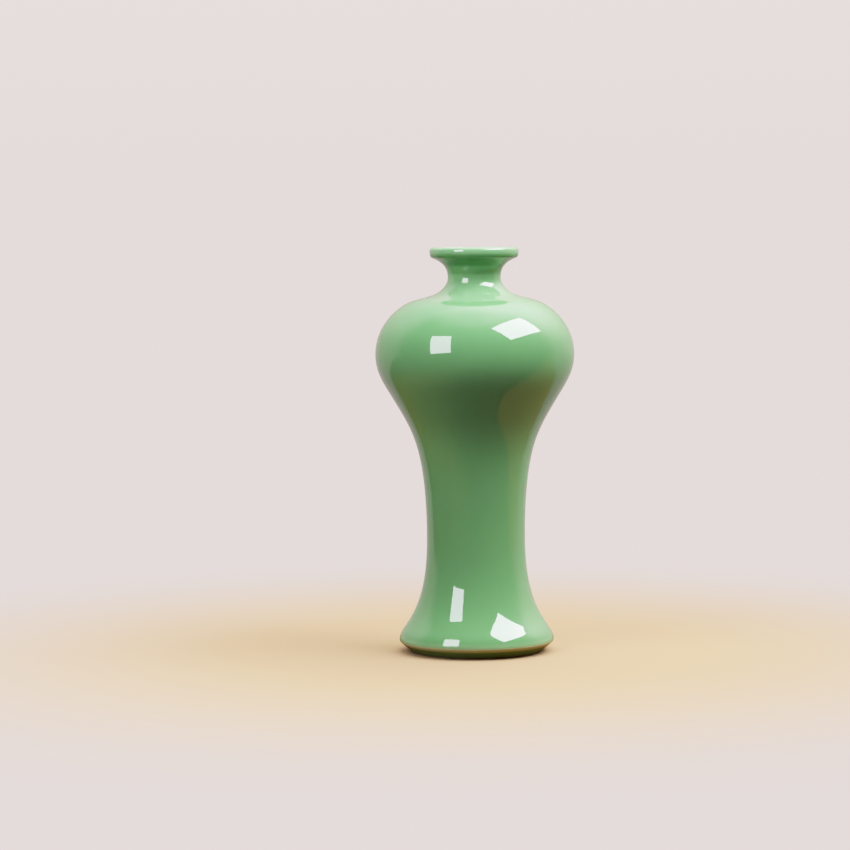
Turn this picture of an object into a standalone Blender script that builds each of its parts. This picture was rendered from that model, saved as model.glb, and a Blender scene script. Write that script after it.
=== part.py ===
"""Celadon wine bottle of plum-vase form, 300 mm tall.

A potter throws it in four sections and lutes them together with slip: a base
with a flared skirt, a slim waist, a full shoulder, and a neck with a trumpet
mouth. Glass is then fired on in three coats: one outside, one inside, and one in
the foot recess. The foot rim is wiped bare. Metres, +Z up, origin at the centre
of the foot.
"""

import math
from collections import namedtuple

import bmesh
import bpy
from mathutils import Vector
from mathutils.geometry import interpolate_bezier

# ---------------------------------------------------------------- dimensions

HEIGHT = 0.300
MOUTH_DIAMETER = 0.0660
NECK_DIAMETER = 0.0393
BELLY_DIAMETER = 0.1474
WAIST_DIAMETER = 0.0731
SKIRT_DIAMETER = 0.1148  # where it starts to turn under, just above its widest
FOOT_DIAMETER = 0.0970  # outside of the bare rim

GLAZE = 0.0007  # thickness of the fired glass
FIT_GAP = 0.0003  # between neighbouring solids
SKIN = GLAZE + FIT_GAP  # from the glazed surface down to the clay
WALL_AT_LIP = 0.0054  # glazed surface to glazed surface
WALL_AT_FOOT = 0.0075  # a thrown wall thickens downwards

LIP_ROUNDING = 0.0025  # radius of the lip's outer shoulder
LIP_FACE = 0.0047  # upright part of the lip's edge, below the rounding
LIP_UNDERCUT = 0.0006  # how far the edge leans in by its lower end
SKIRT_ROUNDING = 0.0024  # radius where the skirt turns under
BEVEL_HEADING = -50  # of the turned-under foot, in degrees from straight down
GLAZE_LINE = 0.0010  # height at which the outer glaze is wiped off

RIM_WIDTH = 0.0055  # flat that the bottle stands on
RIM_EASE = 0.0005  # softened edges of the rim
RECESS_DEPTH = 0.0045  # hollow under the foot
RECESS_FLARE = 0.0010  # how far the recess wall leans in
FLOOR_HEIGHT = 0.0130  # glazed floor inside the bottle
FLOOR_TURN = 0.0240  # height at which the inside wall starts to turn in
FLOOR_FLAT_RADIUS = 0.0320
FLOOR_PULL = 0.0080  # Bezier handles where the inside wall turns into the floor
MOUTH_PULL = 0.0034  # Bezier handles of the mouth's inner trumpet, at its top
THROAT_PULL = 0.0126  # and at the throat

SEAM_LIFT = 0.0020  # inner edge above outer edge, so that the sections centre themselves

TURN_STEPS = 36  # facets round the bottle

# ------------------------------------------------------------------- outline

# A station is a point that the outer outline passes through going downwards.
# heading is in degrees from straight down, positive where the pot widens.
# pull_up and pull_down are the Bezier handle lengths on either side.
Station = namedtuple("Station", "radius height heading pull_up pull_down steps")

LIP_UNDERSIDE = Station(
    MOUTH_DIAMETER / 2 - LIP_UNDERCUT,
    HEIGHT - LIP_ROUNDING - LIP_FACE,
    -62,
    0.0,
    0.0030,
    5,
)
NECK = Station(NECK_DIAMETER / 2, HEIGHT - 0.0213, 0, 0.0102, 0.0020, 3)
NECK_ROOT = Station(0.0225, 0.2707, 39, 0.0046, 0.0096, 5)
SHOULDER_RISE = Station(0.0480, 0.2600, 68, 0.0100, 0.0112, 4)
BELLY = Station(BELLY_DIAMETER / 2, 0.2218, 0, 0.0196, 0.0158, 4)
FLANK = Station(0.0563, 0.1807, -30, 0.0218, 0.0202, 5)
WAIST = Station(WAIST_DIAMETER / 2, 0.0842, 0, 0.0636, 0.0399, 5)
FLARE = Station(0.0524, 0.0198, 34, 0.0114, 0.0040, 4)
SKIRT = Station(SKIRT_DIAMETER / 2, 0.0094, 8, 0.0040, 0.0, 0)

STATIONS = (
    LIP_UNDERSIDE,
    NECK,
    NECK_ROOT,
    SHOULDER_RISE,
    BELLY,
    FLANK,
    WAIST,
    FLARE,
    SKIRT,
)


def point(station):
    return Vector((station.radius, station.height))


# The luted seams are at the outline's points nearest to these.
NECK_SEAM = Vector((0.0365, 0.2640))
FLANK_SEAM = point(FLANK)
WAIST_SEAM = point(WAIST)


def direction(degrees):
    """Unit vector at this heading from straight down."""
    angle = math.radians(degrees)
    return Vector((math.sin(angle), -math.cos(angle)))


def bezier(start, start_pull, end_pull, end, steps):
    """Points along one Bezier stretch, its start left out."""
    made = interpolate_bezier(
        start.to_3d(),
        (start + start_pull).to_3d(),
        (end + end_pull).to_3d(),
        end.to_3d(),
        steps + 1,
    )
    return [p.to_2d() for p in made[1:]]


def arc(centre, radius, start_degrees, end_degrees, steps):
    """Points on a circle, both ends included. Angles are from +X, anticlockwise."""
    made = []
    for i in range(steps + 1):
        share = i / steps
        angle = math.radians(start_degrees + (end_degrees - start_degrees) * share)
        made.append(centre + radius * Vector((math.cos(angle), math.sin(angle))))
    return made


def outer_outline():
    """The glazed outside, from the top of the lip down to the glaze line."""
    lip_centre = Vector((MOUTH_DIAMETER / 2 - LIP_ROUNDING, HEIGHT - LIP_ROUNDING))
    made = arc(lip_centre, LIP_ROUNDING, 90, 0, 4)
    made.append(point(LIP_UNDERSIDE))
    for upper, lower in zip(STATIONS, STATIONS[1:]):
        made += bezier(
            point(upper),
            direction(upper.heading) * upper.pull_down,
            -direction(lower.heading) * lower.pull_up,
            point(lower),
            upper.steps,
        )
    turn_centre = point(SKIRT) - SKIRT_ROUNDING * direction(SKIRT.heading + 90)
    made += arc(turn_centre, SKIRT_ROUNDING, SKIRT.heading, BEVEL_HEADING, 4)[1:]
    bevel = direction(BEVEL_HEADING)
    drop = made[-1].y - GLAZE_LINE
    made.append(made[-1] - bevel * drop / bevel.y)
    return made


def side_normals(outline):
    """Unit normals to the left of the way along, so away from the axis going down."""
    made = []
    for i, p in enumerate(outline):
        after = outline[min(i + 1, len(outline) - 1)]
        # Each outline sets off level from the top of the lip.
        before = outline[i - 1] if i > 0 else Vector((p.x, after.y))
        along = (after - before).normalized()
        made.append(Vector((-along.y, along.x)))
    return made


def shifted(outline, distance):
    """The outline moved sideways: positive is away from the axis on a downward stretch."""
    moved = [p + n * distance for p, n in zip(outline, side_normals(outline))]
    if outline[-1].x < FIT_GAP:
        moved[-1] = Vector((0.0, outline[-1].y - distance))
    return moved


def wall_at(height):
    share = (HEIGHT - height) / HEIGHT
    return WALL_AT_LIP + (WALL_AT_FOOT - WALL_AT_LIP) * share


def inner_outline(outside):
    """The glazed inside, from the top of the lip down to the middle of the floor."""
    throat = Vector((NECK.radius - wall_at(NECK.height), NECK.height))
    crown = outside[0]
    made = [crown]
    made += bezier(crown, Vector((-MOUTH_PULL, 0.0)), Vector((0.0, THROAT_PULL)), throat, 6)
    for p, n in zip(outside, side_normals(outside)):
        if FLOOR_TURN < p.y < NECK.height - FIT_GAP:
            made.append(p - n * wall_at(p.y))
    floor_edge = Vector((FLOOR_FLAT_RADIUS, FLOOR_HEIGHT))
    turning = (made[-1] - made[-2]).normalized() * FLOOR_PULL
    made += bezier(made[-1], turning, Vector((FLOOR_PULL, 0.0)), floor_edge, 3)
    made.append(Vector((0.0, FLOOR_HEIGHT)))
    return made


# ----------------------------------------------------------------- materials


def material(name, colour, roughness):
    made = bpy.data.materials.new(name)
    made.use_nodes = True
    shader = made.node_tree.nodes["Principled BSDF"]
    shader.inputs["Base Color"].default_value = (*colour, 1.0)
    shader.inputs["Roughness"].default_value = roughness
    shader.inputs["Metallic"].default_value = 0.0
    made.diffuse_color = (*colour, 1.0)
    return made


# -------------------------------------------------------------------- solids


def turned(name, profile, seat, parts, axis, finish):
    """A solid of revolution about +Z, with its own origin on the axis at seat."""
    mesh = bpy.data.meshes.new(name)
    flat = bmesh.new()
    corners = [flat.verts.new((p.x, 0.0, p.y - seat)) for p in profile]
    closed = profile[0].x > 0.0
    ends = corners[1:] + corners[:1] if closed else corners[1:]
    for a, b in zip(corners, ends):
        flat.edges.new((a, b))
    flat.to_mesh(mesh)
    flat.free()
    made = bpy.data.objects.new(name, mesh)
    parts.objects.link(made)
    made.parent = axis
    made.location = (0.0, 0.0, seat)
    mesh.materials.append(finish)
    screw = made.modifiers.new("turn", "SCREW")
    screw.steps = TURN_STEPS
    screw.render_steps = TURN_STEPS
    screw.use_merge_vertices = True
    screw.merge_threshold = 0.00001
    screw.use_smooth_shade = True
    return made


def seamed(outline, place, lift):
    """The outline in two, parted by the fit gap at its point nearest to place.

    The parting is then moved up the wall by lift.
    """
    at = min(range(len(outline)), key=lambda i: (outline[i] - place).length)
    up = (outline[at - 1] - outline[at]).normalized()
    seam = outline[at] + up * lift
    upper = outline[:at] + [seam + up * FIT_GAP / 2]
    lower = [seam - up * FIT_GAP / 2] + outline[at + 1 :]
    return upper, lower


def clay_sections(outside, inside):
    """Profiles of the luted sections, top to bottom, each running down its outer side."""
    rest_out = shifted(outside, -SKIN)
    rest_in = shifted(inside, SKIN)
    made = []
    for place in (NECK_SEAM, FLANK_SEAM, WAIST_SEAM):
        section_out, rest_out = seamed(rest_out, place, 0.0)
        section_in, rest_in = seamed(rest_in, place, SEAM_LIFT)
        made.append(section_out + section_in[::-1])
    made[0].pop()  # both outlines start at the lip's crown

    rim = FOOT_DIAMETER / 2
    recess = rim - RIM_EASE - RIM_WIDTH - RIM_EASE
    foot = [
        Vector((rim, RIM_EASE)),
        Vector((rim - RIM_EASE, 0.0)),
        Vector((recess + RIM_EASE, 0.0)),
        Vector((recess, RIM_EASE)),
        Vector((recess - RECESS_FLARE, RECESS_DEPTH)),
        Vector((0.0, RECESS_DEPTH)),
    ]
    made.append(rest_in[::-1] + rest_out + foot)
    return made


def recess_glaze():
    """The disc of glass poured into the hollow under the foot."""
    edge = FOOT_DIAMETER / 2 - 2 * RIM_EASE - RIM_WIDTH - RECESS_FLARE
    top = RECESS_DEPTH - FIT_GAP
    return [
        Vector((0.0, top)),
        Vector((edge - 3 * FIT_GAP, top)),
        Vector((edge - 2 * FIT_GAP, top - GLAZE)),
        Vector((0.0, top - GLAZE)),
    ]


def coat_profile(outside):
    """The glass outside. Its top edge stands off from the lining's by the fit gap."""
    made = outside + shifted(outside, -GLAZE)[::-1]
    stand_off = Vector((FIT_GAP, 0.0))
    return [made[0] + stand_off] + made[1:-1] + [made[-1] + stand_off]


def lining_profile(inside):
    """The glass inside, with its thickness taken out of the wall."""
    return inside[::-1] + shifted(inside, GLAZE)


def build():
    for left_over in list(bpy.data.objects):
        bpy.data.objects.remove(left_over)

    parts = bpy.data.collections.new("sake_bottle")
    bpy.context.scene.collection.children.link(parts)
    axis = bpy.data.objects.new("bottle_axis", None)
    parts.objects.link(axis)

    stoneware = material("stoneware", (0.48, 0.36, 0.26), 0.75)
    outer_celadon = material("outer_celadon", (0.18, 0.46, 0.18), 0.05)
    inner_celadon = material("inner_celadon", (0.20, 0.46, 0.21), 0.08)
    recess_celadon = material("recess_celadon", (0.17, 0.40, 0.17), 0.10)

    outside = outer_outline()
    inside = inner_outline(outside)
    neck, shoulder, waist, base = clay_sections(outside, inside)
    coat = coat_profile(outside)
    lining = lining_profile(inside)

    turned("base_section", base, 0.0, parts, axis, stoneware)
    turned("waist_section", waist, WAIST_SEAM.y, parts, axis, stoneware)
    turned("shoulder_section", shoulder, FLANK_SEAM.y, parts, axis, stoneware)
    turned("neck_section", neck, NECK_SEAM.y, parts, axis, stoneware)
    turned("outer_glaze", coat, GLAZE_LINE, parts, axis, outer_celadon)
    turned("inner_glaze", lining, FLOOR_HEIGHT, parts, axis, inner_celadon)
    turned("base_glaze", recess_glaze(), RECESS_DEPTH, parts, axis, recess_celadon)


build()
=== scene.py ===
"""The looks of a celadon glazed sake bottle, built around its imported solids.

Every visible piece is turned again from the section of the solid that it stands for,
with smooth curves in place of the chords. Metres, +Z up, the foot on z = 0.
"""

import math

import bpy
import numpy as np
from mathutils import Matrix, Vector
from mathutils.geometry import interpolate_bezier


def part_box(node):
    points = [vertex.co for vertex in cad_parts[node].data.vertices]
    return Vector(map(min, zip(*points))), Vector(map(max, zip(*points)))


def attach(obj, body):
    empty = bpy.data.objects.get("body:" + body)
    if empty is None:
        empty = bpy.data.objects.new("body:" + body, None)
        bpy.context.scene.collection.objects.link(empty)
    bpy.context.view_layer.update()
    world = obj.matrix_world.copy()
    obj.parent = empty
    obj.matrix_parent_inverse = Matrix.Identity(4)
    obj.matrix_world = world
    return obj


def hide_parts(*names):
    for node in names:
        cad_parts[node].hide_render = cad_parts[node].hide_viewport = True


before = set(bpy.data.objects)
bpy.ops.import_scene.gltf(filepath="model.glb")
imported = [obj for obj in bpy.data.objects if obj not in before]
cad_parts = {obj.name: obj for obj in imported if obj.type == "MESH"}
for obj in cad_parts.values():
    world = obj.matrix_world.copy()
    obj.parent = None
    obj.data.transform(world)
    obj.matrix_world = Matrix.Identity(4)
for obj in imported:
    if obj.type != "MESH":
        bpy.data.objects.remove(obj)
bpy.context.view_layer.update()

MM = 0.001


def linked(name, data):
    """A new object in the scene."""
    made = bpy.data.objects.new(name, data)
    bpy.context.scene.collection.objects.link(made)
    return made


# ------------------------------------------------------------- turned pieces

GLAZE_ANGLES = 164  # vertices round a glazed surface
CLAY_ANGLES = 120
FLAT = 1e-6  # how far off the section's plane or the axis still counts as on it
ON_AXIS = 1e-7
SHARP = 30  # a corner that turns by more degrees than this is eased, not smoothed
EASE_POINTS = 4  # vertices added along an eased corner
CURVE_STEP = 0.9 * MM  # about how far apart the vertices along a smooth curve are


def half_section(node):
    """The corners (radius, height) of a node's section, from the top down its outer side."""
    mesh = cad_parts[node].data
    corners = {}
    for v in mesh.vertices:
        if abs(v.co.y) < FLAT and v.co.x > -FLAT:
            corners[v.index] = (round(v.co.x, 6), round(v.co.z, 6))
    beside = {}
    for edge in mesh.edges:
        a, b = (corners.get(i) for i in edge.vertices)
        if a and b and a != b:
            beside.setdefault(a, set()).add(b)
            beside.setdefault(b, set()).add(a)
    ends = [p for p in beside if len(beside[p]) == 1]
    walk = [max(ends or beside, key=lambda p: p[1])]
    onward = beside[walk[0]]
    while onward:
        walk.append(max(onward))
        onward = {p for p in beside[walk[-1]] if p not in walk}
    if ends:
        # The flat disc round the axis has lost its middle point, so it is put back.
        walk = [(0.0, p[1]) for p in walk[:1] if p[0] > 0] + walk
        walk += [(0.0, p[1]) for p in walk[-1:] if p[0] > 0]
    return np.array(walk), bool(ends)


def turn_at(before, here, after):
    """How far the outline turns at a corner, in degrees."""
    a = math.atan2(*(here - before))
    b = math.atan2(*(after - here))
    return abs((math.degrees(b - a) + 180) % 360 - 180)


def spline(points, start_way=None):
    """Bezier stretches of even curvature through the points, sampled finely."""
    count = len(points)
    if count == 2:
        return list(points)
    steps = np.linalg.norm(np.diff(points, axis=0), axis=1)
    matrix = np.zeros((count, count))
    wanted = np.zeros((count, 2))
    chords = np.diff(points, axis=0) / steps[:, None]
    matrix[0, :2] = 2, 1
    wanted[0] = 3 * chords[0]
    matrix[-1, -2:] = 1, 2
    wanted[-1] = 3 * chords[-1]
    if start_way is not None:
        matrix[0, :2] = 1, 0
        wanted[0] = start_way
    for i in range(1, count - 1):
        near, far = 1 / steps[i - 1], 1 / steps[i]
        matrix[i, i - 1 : i + 2] = near, 2 * (near + far), far
        wanted[i] = 3 * (chords[i - 1] * near + chords[i] * far)
    slopes = np.linalg.solve(matrix, wanted)
    made = [points[0]]
    for i, step in enumerate(steps):
        handles = (
            points[i],
            points[i] + slopes[i] * step / 3,
            points[i + 1] - slopes[i + 1] * step / 3,
            points[i + 1],
        )
        parts = max(2, min(10, round(step / CURVE_STEP)))
        fine = interpolate_bezier(*(Vector((*p, 0.0)) for p in handles), parts + 1)
        made += [np.array(p[:2]) for p in fine[1:]]
    return made


def cut_back(points, length):
    """The polyline without this much of its end."""
    points = list(points)
    left = length
    while len(points) > 2 and np.linalg.norm(points[-1] - points[-2]) <= left:
        left -= np.linalg.norm(points[-1] - points[-2])
        points.pop()
    way = points[-1] - points[-2]
    points[-1] = points[-1] - way * min(0.5, left / np.linalg.norm(way))
    return points


def fine_outline(corners, on_axis, easing, level_start=False):
    """A section with its curves made smooth and its sharp corners eased.

    easing(corner) is the length that is cut back on each side of a sharp corner.
    level_start makes the first curve set out level, from the top of the section.
    """
    count = len(corners)
    splits = [0] if on_axis else []
    for i in range(1, count - 1) if on_axis else range(count):
        if turn_at(corners[i - 1], corners[i], corners[(i + 1) % count]) > SHARP:
            splits.append(i)
    splits.append(count - 1 if on_axis else splits[0] + count)
    stretches = []
    for a, b in zip(splits, splits[1:]):
        reach = np.array([corners[i % count] for i in range(a, b + 1)])
        level = np.array((1.0, 0.0)) if level_start and a % count == 0 else None
        stretches.append(spline(reach, level))
    made = []
    total = len(stretches)
    for k, stretch in enumerate(stretches):
        corner = stretch[-1]
        last = on_axis and k == total - 1
        if not (on_axis and k == 0):
            stretch = cut_back(stretch[::-1], easing(stretch[0]))[::-1]
        if not last:
            stretch = cut_back(stretch, easing(corner))
        made += stretch
        if not last:
            following = stretches[(k + 1) % total]
            landing = cut_back(following[::-1], easing(corner))[-1]
            for t in np.linspace(0, 1, EASE_POINTS + 2)[1:-1]:
                leaving = (1 - t) ** 2 * stretch[-1]
                made.append(leaving + 2 * t * (1 - t) * corner + t * t * landing)
    return np.array(made)


def turned(name, outline, on_axis, angles):
    """A closed surface of revolution."""
    around = np.arange(angles) * 2 * math.pi / angles
    points = []
    rows = []
    for r, z in outline:
        if r < ON_AXIS:
            rows.append([len(points)] * angles)
            points.append((0.0, 0.0, z))
            continue
        rows.append(list(range(len(points), len(points) + angles)))
        points += zip(r * np.cos(around), r * np.sin(around), [z] * angles)
    faces = []
    pairs = list(zip(rows, rows[1:]))
    if not on_axis:
        pairs.append((rows[-1], rows[0]))
    for upper, lower in pairs:
        for i in range(angles):
            j = (i + 1) % angles
            face = (upper[i], lower[i], lower[j], upper[j])
            faces.append(tuple(dict.fromkeys(face)))
    mesh = bpy.data.meshes.new(name)
    mesh.from_pydata([tuple(map(float, p)) for p in points], [], faces)
    mesh.validate()
    mesh.shade_smooth()
    return linked(name, mesh)


# ---------------------------------------------------------------- node tools


class Nodes:
    """Short ways to add and join nodes in one tree."""

    def __init__(self, tree, coordinates):
        self.tree = tree
        self.place = self.node("ShaderNodeTexCoord").outputs[coordinates]
        apart = self.node("ShaderNodeSeparateXYZ", Vector=self.place)
        self.x, self.y, self.z = apart.outputs

    def node(self, kind, **inputs):
        made = self.tree.nodes.new(kind)
        for name, value in inputs.items():
            self.join(value, made.inputs[name])
        return made

    def join(self, value, socket):
        if isinstance(value, bpy.types.NodeSocket):
            self.tree.links.new(value, socket)
        else:
            socket.default_value = value

    def noise(self, size, detail):
        """Noise from 0 to 1 whose features are about this many metres across."""
        made = self.node("ShaderNodeTexNoise", Vector=self.place, Scale=1 / size)
        made.inputs["Detail"].default_value = detail
        return made.outputs["Fac"]

    def spread(self, value, low, high, out_low=0.0, out_high=1.0):
        """value's range from low to high, made out_low to out_high, with soft ends."""
        made = self.node("ShaderNodeMapRange", Value=value)
        made.interpolation_type = "SMOOTHSTEP"
        for socket, number in zip(made.inputs[1:5], (low, high, out_low, out_high)):
            socket.default_value = number
        return made.outputs["Result"]

    def band(self, value, low, high, soft):
        """1 where value is between low and high, falling to 0 over soft on either side."""
        rise = self.spread(value, low - soft, low)
        fall = self.spread(value, high, high + soft, 1.0, 0.0)
        return self.times(rise, fall)

    def math(self, operation, a, b=0.0, c=0.0):
        made = self.tree.nodes.new("ShaderNodeMath")
        made.operation = operation
        for value, socket in zip((a, b, c), made.inputs):
            self.join(value, socket)
        return made.outputs[0]

    def times(self, a, b):
        return self.math("MULTIPLY", a, b)

    def times_plus(self, a, b, c):
        return self.math("MULTIPLY_ADD", a, b, c)

    def mixed(self, share, a, b):
        """Colour a where share is 0 and colour b where it is 1."""
        made = self.tree.nodes.new("ShaderNodeMix")
        made.data_type = "RGBA"
        self.join(share, made.inputs[0])
        self.join(a, made.inputs[6])
        self.join(b, made.inputs[7])
        return made.outputs[2]

    def mixed_shader(self, share, a, b):
        made = self.tree.nodes.new("ShaderNodeMixShader")
        for value, socket in zip((share, a, b), made.inputs):
            self.join(value, socket)
        return made.outputs[0]

    def bumped(self, height, depth):
        made = self.node("ShaderNodeBump", Height=height, Distance=depth)
        made.inputs["Strength"].default_value = 1.0
        return made.outputs["Normal"]


class Shading(Nodes):
    """A new material with a Principled shader."""

    def __init__(self, name):
        self.material = bpy.data.materials.new(name)
        self.material.use_nodes = True
        super().__init__(self.material.node_tree, "Object")
        self.shader = self.tree.nodes["Principled BSDF"]

    def set(self, socket, value):
        self.join(value, self.shader.inputs[socket])


def colour(r, g, b):
    return (r, g, b, 1.0)


# ----------------------------------------------------------------- materials

coat_low, coat_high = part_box("outer_glaze")
LIP_TOP = coat_high.z
SKIRT_EDGE = coat_low.z + 7.0 * MM  # height where the skirt turns under

# A paler green, used for the glaze's speckle and as painted light on the lip and the neck's
# root.
THIN_GLAZE_AND_PAINTED_LIGHT = colour(0.260, 0.545, 0.250)
# Dark green painted as shade under the lip.
PAINTED_UNDER_LIP_SHADE = colour(0.070, 0.245, 0.068)
# Pale clay showing where the glaze thins, made brighter and greener as painted light on the
# skirt's downward-facing edge.
CLAY_AND_PAINTED_LIGHT = colour(0.660, 0.850, 0.520)

# Bands painted on the glaze's colour, by height: the lip's thinner glaze, also painted paler as
# light on its top; painted shade under the lip; painted light on the neck's root. Columns:
# lowest, highest, fade, share, colour.
GLAZE_AND_PAINTED_LIGHT_BANDS = (
    (LIP_TOP - 3.5 * MM, LIP_TOP + MM, 2.0 * MM, 0.8, THIN_GLAZE_AND_PAINTED_LIGHT),  # the lip: thinner, paler glaze, and painted light on its top
    (LIP_TOP - 12.0 * MM, LIP_TOP - 7.0 * MM, 3.0 * MM, 0.85, PAINTED_UNDER_LIP_SHADE),  # painted shade under the lip, where its overhang shades the neck
    (LIP_TOP - 37.0 * MM, LIP_TOP - 21.0 * MM, 3.0 * MM, 0.65, THIN_GLAZE_AND_PAINTED_LIGHT),  # painted light on the neck's root, which the lip shades
)

GLASS_IOR = 1.60
CLOUD = 45 * MM  # sizes of the glaze's variations
SPECKLE = 0.9 * MM
WAVES = 14 * MM
WAVE_DEPTH = 0.02 * MM
POLISH = 12 * MM

KILN_PALE = colour(0.42, 0.28, 0.17)
KILN_BROWN = colour(0.30, 0.17, 0.09)
KILN_DARK = colour(0.24, 0.12, 0.06)
GRAIN = 0.7 * MM
TOASTING = 18 * MM
PITS = 0.5 * MM
PIT_DEPTH = 0.12 * MM


def celadon(name, depth=1.0):
    """Glossy green glass over pale clay, thin and paler on edges, with painted light and shade
    in bands near the lip and neck and a line at the skirt's edge that is partly clay and partly
    painted light. depth scales its colour.
    """
    s = Shading(name)
    body = colour(0.160 * depth, 0.405 * depth, 0.155 * depth)
    pooled = colour(0.140 * depth, 0.375 * depth, 0.135 * depth)
    cloud = s.spread(s.noise(CLOUD, 3.0), 0.3, 0.7)
    tint = s.mixed(s.times(cloud, 0.35), body, pooled)
    fine = s.spread(s.noise(SPECKLE, 2.0), 0.35, 0.75)
    tint = s.mixed(s.times(fine, 0.06), tint, THIN_GLAZE_AND_PAINTED_LIGHT)
    # Paints the bands of thinner glaze, painted light and painted shade onto the glaze's colour.
    for low, high, fade, share, paint in GLAZE_AND_PAINTED_LIGHT_BANDS:
        tint = s.mixed(s.times(s.band(s.z, low, high, fade), share), tint, paint)
    # The glaze thins to clay at the skirt's edge, and this line and a faint band above it are
    # also painted lighter as painted light.
    near_edge = s.band(s.z, SKIRT_EDGE, SKIRT_EDGE + 2.0 * MM, 3.0 * MM)
    on_edge = s.band(s.z, SKIRT_EDGE - 1.7 * MM, SKIRT_EDGE + 0.2 * MM, 0.9 * MM)
    edge_clay_and_light = s.times_plus(on_edge, 0.80, s.times(near_edge, 0.16))
    s.set("Base Color", s.mixed(edge_clay_and_light, tint, CLAY_AND_PAINTED_LIGHT))
    s.set("Roughness", s.spread(s.noise(POLISH, 3.0), 0.3, 0.7, 0.025, 0.045))
    s.set("Normal", s.bumped(s.noise(WAVES, 2.0), WAVE_DEPTH))
    s.set("IOR", GLASS_IOR)
    s.set("Subsurface Weight", 0.10)
    s.set("Subsurface Radius", (0.5, 1.0, 0.45))
    s.set("Subsurface Scale", 2.0 * MM)
    return s.material


def bare_clay(name):
    """Unglazed stoneware, toasted brown where the kiln's air reached it."""
    s = Shading(name)
    grain = s.spread(s.noise(GRAIN, 4.0), 0.3, 0.7)
    cloud = s.spread(s.noise(TOASTING, 3.0), 0.3, 0.7)
    tint = s.mixed(grain, KILN_BROWN, KILN_PALE)
    s.set("Base Color", s.mixed(s.times(cloud, 0.5), tint, KILN_DARK))
    s.set("Roughness", s.spread(grain, 0, 1, 0.65, 0.85))
    s.set("Normal", s.bumped(s.noise(PITS, 4.0), PIT_DEPTH))
    return s.material


# -------------------------------------------------------------------- pieces

EASING = 0.2 * MM  # cut back on each side of a glaze's sharp corner
LIP_EASING = 1.7 * MM  # and on each side of the corner under the lip
CLAY_EASING = 0.25 * MM
LAP = 0.8 * MM  # how far the coat is drawn in over the lining at the lip


def stand_in(piece, node, material):
    piece.data.materials.append(material)
    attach(piece, "root")
    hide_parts(node)


def glaze_easing(corner):
    radius, height = corner
    under_lip = LIP_TOP - 8 * MM < height < LIP_TOP - 5 * MM
    return LIP_EASING if under_lip and radius > 25 * MM else EASING


def clay_easing(corner):
    return CLAY_EASING


def lapped(section):
    """The coat's section, drawn in over the lining's at the lip to close the fit gap."""
    moved = section.copy()
    crown_end = moved[:, 0] < moved[moved[:, 1].argmax(), 0] + 0.1 * MM
    moved[crown_end & (moved[:, 1] > LIP_TOP - MM), 0] -= LAP
    return moved


def glazed(name, node, material, angles=GLAZE_ANGLES, shape=None, level=False):
    section, on_axis = half_section(node)
    if shape:
        section = shape(section)
    outline = fine_outline(section, on_axis, glaze_easing, level)
    stand_in(turned(name, outline, on_axis, angles), node, material)


glass = celadon("outer_celadon")
glazed("celadon_outside", "outer_glaze", glass, shape=lapped, level=True)
glass = celadon("inner_celadon")
glazed("celadon_lining", "inner_glaze", glass)
glass = celadon("recess_celadon", 0.85)
glazed("foot_recess_glaze", "base_glaze", glass, CLAY_ANGLES)

stoneware = bare_clay("stoneware")
for part in ("neck", "shoulder", "waist", "base"):
    section, on_axis = half_section(part + "_section")
    outline = fine_outline(section, on_axis, clay_easing)
    piece = turned(part + "_clay", outline, on_axis, CLAY_ANGLES)
    stand_in(piece, part + "_section", stoneware)

# --------------------------------------------------------------------- stage

FLOOR_REACH = 6.0
FLOOR_SEEN = colour(0.490, 0.345, 0.190)
FLOOR_FADE = (0.14, 0.60)  # distances over which the floor runs into the wall's colour
WALL = colour(1.16, 0.98, 0.94)
WALL_SEEN_ABOVE = colour(1.35, 1.22, 1.16)
WALL_GLOW = 0.60  # how brightly the glaze reflects the wall's foot

# What the glaze reflects of the floor: a brown mat, and dark wood round it.
MAT = colour(0.215, 0.098, 0.022)
WOOD = colour(0.030, 0.014, 0.008)
STRAW = colour(0.180, 0.150, 0.018)  # near by on the left
MAT_FRONT = -0.117
MAT_LEFT = -0.105
MAT_EDGE = 0.0015  # softness
MAT_BACK = 0.190  # where it gives way to the wall
BACK_SLANT = 0.22  # how much further back that is for each metre to the left
BOUNCE = 0.85  # share of the mat's light that is shed on the clay as well

CEILING = colour(1.10, 1.02, 1.10)
SIDE_GLOW_AT = (0.433, 0.376, 0.819)  # a brighter part of the room, up behind on the right
SIDE_GLOW_SPREAD = 8.0
SIDE_GLOW = 3.2


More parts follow.
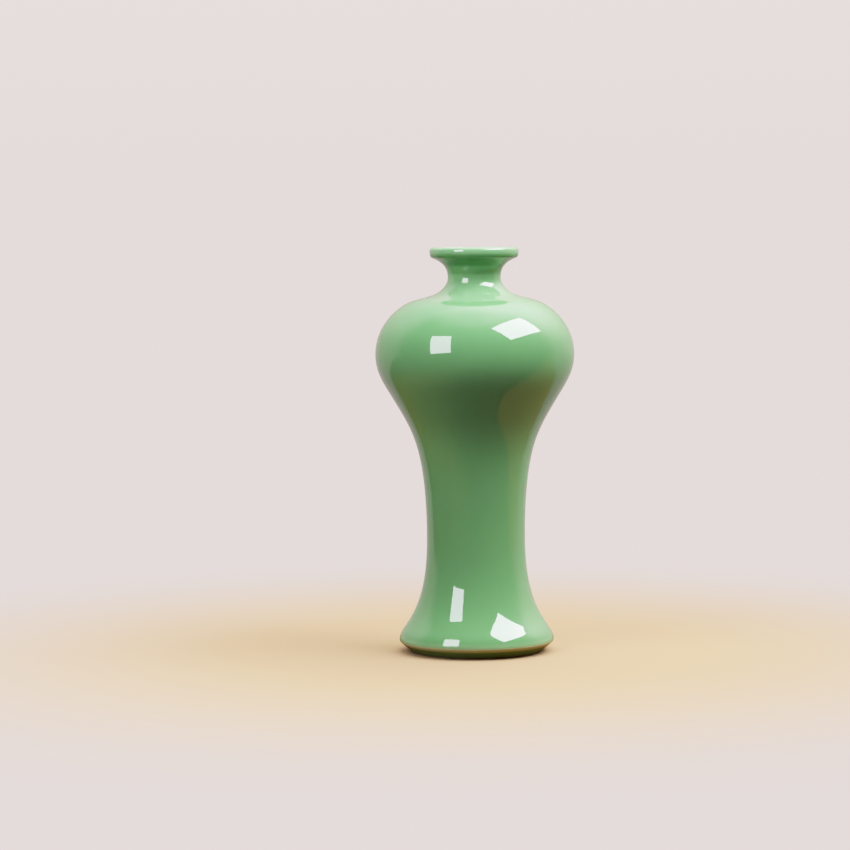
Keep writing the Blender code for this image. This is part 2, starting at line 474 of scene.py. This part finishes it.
def floor_material(name):
    """A pale floor that runs into the wall's colour. The glaze reflects a mat on wood."""
    s = Shading(name)
    s.set("Roughness", 0.9)
    s.set("Specular IOR Level", 0.0)
    rays = s.node("ShaderNodeLightPath")
    seen = rays.outputs["Is Camera Ray"]
    mirrored = rays.outputs["Is Glossy Ray"]
    reach = s.node("ShaderNodeVectorMath", Vector=s.place)
    reach.operation = "LENGTH"
    away = reach.outputs["Value"]

    leftwards = s.spread(s.x, -0.30, -0.03, 1.0, 0.0)
    nearness = s.spread(away, 0.25, 0.70, 1.0, 0.25)
    straw = s.times(leftwards, nearness)
    wood = s.mixed(s.times(mirrored, straw), WOOD, STRAW)
    front = s.spread(s.y, MAT_FRONT - MAT_EDGE, MAT_FRONT + MAT_EDGE)
    side = s.spread(s.x, MAT_LEFT - MAT_EDGE, MAT_LEFT + MAT_EDGE)
    shown = s.times_plus(mirrored, 1.0 - BOUNCE, BOUNCE)
    hidden = s.mixed(s.times(s.times(front, side), shown), wood, MAT)
    s.set("Base Color", s.mixed(seen, hidden, FLOOR_SEEN))

    slanted = s.times_plus(s.math("MINIMUM", s.x, 0.0), BACK_SLANT, s.y)
    hidden_far = s.spread(slanted, MAT_BACK - 0.02, MAT_BACK + 0.05)
    seen_far = s.spread(away, *FLOOR_FADE)
    glow = s.node("ShaderNodeEmission", Color=WALL)
    s.join(s.times_plus(seen, 1.0 - WALL_GLOW, WALL_GLOW), glow.inputs["Strength"])
    other = s.times(s.math("SUBTRACT", 1.0, seen), hidden_far)
    far = s.math("ADD", s.times(seen, seen_far), other)
    surface = s.mixed_shader(far, s.shader.outputs[0], glow.outputs[0])
    s.join(surface, s.tree.nodes["Material Output"].inputs["Surface"])
    return s.material


def floor():
    mesh = bpy.data.meshes.new("floor")
    sides = ((-1, -1), (1, -1), (1, 1), (-1, 1))
    corners = [(x * FLOOR_REACH, y * FLOOR_REACH, 0) for x, y in sides]
    mesh.from_pydata(corners, [], [(0, 1, 2, 3)])
    made = linked("floor", mesh)
    mesh.materials.append(floor_material("pale_floor"))


def surroundings():
    """A room with a pale wall behind that brightens upwards, and a dark front.

    The camera sees a plain pale wall all round.
    """
    world = bpy.data.worlds.new("studio")
    bpy.context.scene.world = world
    world.use_nodes = True
    s = Nodes(world.node_tree, "Generated")
    rays = s.node("ShaderNodeLightPath")
    behind = s.spread(s.y, -0.02, 0.35)
    upwards = s.spread(s.z, 0.10, 0.85, WALL_GLOW, 1.30)
    overhead = s.spread(s.z, 0.84, 0.98, 0.02, 1.45)
    level = s.times_plus(behind, upwards, overhead)
    towards = s.node("ShaderNodeVectorMath")
    towards.operation = "DOT_PRODUCT"
    s.join(s.place, towards.inputs[0])
    towards.inputs[1].default_value = Vector(SIDE_GLOW_AT).normalized()
    fade = s.times_plus(towards.outputs["Value"], SIDE_GLOW_SPREAD, -SIDE_GLOW_SPREAD)
    level = s.times_plus(s.math("EXPONENT", fade), SIDE_GLOW, level)
    room = s.tree.nodes["Background"]
    s.join(s.mixed(s.spread(s.z, 0.3, 0.8), WALL, CEILING), room.inputs["Color"])
    s.join(level, room.inputs["Strength"])
    seen = s.node("ShaderNodeBackground")
    s.join(s.mixed(s.spread(s.z, 0.0, 0.25), WALL, WALL_SEEN_ABOVE), seen.inputs["Color"])
    both = s.mixed_shader(rays.outputs["Is Camera Ray"], room.outputs[0], seen.outputs[0])
    s.join(both, s.tree.nodes["World Output"].inputs["Surface"])


# -------------------------------------------------------------------- lights

COOL = (1.02, 1.00, 1.10)
MIRROR_NEARER = 0.99  # puts what the glaze mirrors in front of the light that is shed

# name, (centre, width, height, azimuth, tilt, roll), light shed, light mirrored
SOFTBOXES = (
    ("left", ((-0.814, -0.916, 0.776), 0.555, 0.816, -38.8, 11.1, 8.9), 3.5, 9.0),
    ("right", ((1.505, -0.420, 2.118), 1.987, 1.291, 53.8, 26.1, 14.3), 9.8, 9.5),
)
FILLS = (
    ("fill_left", ((-0.55, -0.35, 0.75), 0.5, 0.4, -57.5, 40.2, 0.0), 3.6),
    ("fill_top", ((0.0, -0.35, 0.95), 0.5, 0.4, 0.0, 65.0, 0.0), 3.2),
    ("fill_front", ((-0.08, -0.64, 0.76), 0.6, 0.5, -7.0, 40.0, 0.0), 1.3),
    ("fill_neck", ((-0.05, -0.45, 0.45), 0.2, 0.12, -6.3, 20.6, 0.0), 1.5),
)


def softbox(name, centre, width, height, azimuth, tilt, roll, radiance):
    """A soft rectangular light. azimuth and tilt are its bearing from the bottle, in degrees."""
    light = bpy.data.lights.new(name, "AREA")
    light.shape = "RECTANGLE"
    light.size = width
    light.size_y = height
    light.energy = radiance * width * height * math.pi
    light.color = COOL
    made = linked(name, light)
    az, up = math.radians(azimuth), math.radians(tilt)
    flat = math.cos(up)
    away = Vector((math.sin(az) * flat, -math.cos(az) * flat, math.sin(up)))
    across = Vector((0, 0, 1)).cross(away).normalized()
    upward = away.cross(across)
    turn = Matrix((across, upward, away)).transposed().to_4x4()
    spin = Matrix.Rotation(math.radians(roll), 4, "Z")
    made.matrix_world = Matrix.Translation(centre) @ turn @ spin
    made.visible_camera = False
    return made


def lights():
    """Softboxes, each with a copy for the glaze to mirror, and fills that it doesn't."""
    for side, place, shed, glare in SOFTBOXES:
        softbox(side + "_softbox", *place, shed)
        mirrored = softbox(side + "_glare", *place, glare)
        mirrored.visible_diffuse = False
        mirrored.location *= MIRROR_NEARER
    for name, place, shed in FILLS:
        made = softbox(name, *place, shed)
        made.visible_glossy = False


# ------------------------------------------------------------------- picture

KNEE = 0.25  # brightness above which the picture's highlights roll off
BRIGHTEST = 4.0

LENS = 125.8  # millimetres, as the sensor's width is
SENSOR = 36
CAMERA_AT = (0.0, -2.2, 0.314)
CAMERA_PAN = 0.97  # degrees
CAMERA_DOWN = 3.78
CAMERA_LEAN = -0.45


def tone():
    """A camera's soft highlights."""
    view = bpy.context.scene.view_settings
    view.view_transform = "Standard"
    view.use_curve_mapping = True
    curves = view.curve_mapping
    curves.white_level = (BRIGHTEST,) * 3
    curve = curves.curves[3]
    room = 1.0 - KNEE
    for light in (0.125, KNEE, 0.4, 0.6, 0.8, 1.0, 1.3, 1.7, 2.2, 3.0):
        shown = light
        if light > KNEE:
            shown = KNEE + room * (1 - math.exp((KNEE - light) / room))
        curve.points.new(light / BRIGHTEST, shown)
    curves.update()


def camera():
    data = bpy.data.cameras.new("camera")
    data.lens = LENS
    data.sensor_width = SENSOR
    data.clip_end = 50
    made = linked("camera", data)
    place = Matrix.Translation(CAMERA_AT)
    turn = Matrix.Rotation(math.radians(CAMERA_PAN), 4, "Z")
    look = Matrix.Rotation(math.radians(90 - CAMERA_DOWN), 4, "X")
    lean = Matrix.Rotation(math.radians(CAMERA_LEAN), 4, "Z")
    made.matrix_world = place @ turn @ look @ lean
    bpy.context.scene.camera = made


floor()
surroundings()
camera()
lights()
tone()
